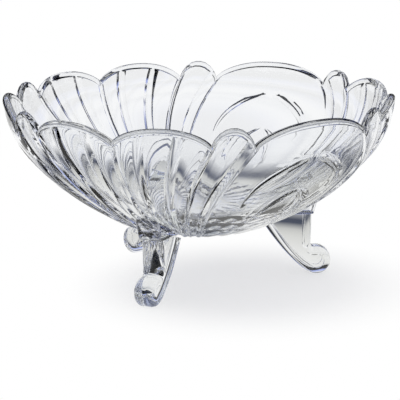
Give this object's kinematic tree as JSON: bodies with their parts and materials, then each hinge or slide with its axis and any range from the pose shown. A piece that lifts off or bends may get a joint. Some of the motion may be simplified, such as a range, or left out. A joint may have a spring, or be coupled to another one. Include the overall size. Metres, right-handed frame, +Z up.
{
  "type": "footed glass bowl",
  "caption": "Clear crystal serving bowl with a scalloped rim, fluted and leaf-cut panels, bonded to scroll feet that raise it off the table.",
  "frame": {"origin": "on the bowl's axis, on the table surface that the feet stand on", "axes": "+Z up along the bowl's axis, -Y toward the foot named front"},
  "size_m": [0.222, 0.2213, 0.1086],
  "materials": {
    "crystal": "fire-polished clear crystal",
    "adhesive": "clear cured film"
  },
  "bodies": {
    "root": {"bowl": "crystal", "foot_front": "crystal", "foot_right": "crystal", "foot_left": "crystal", "bond_front": "adhesive", "bond_right": "adhesive", "bond_left": "adhesive"}
  },
  "joints": []
}
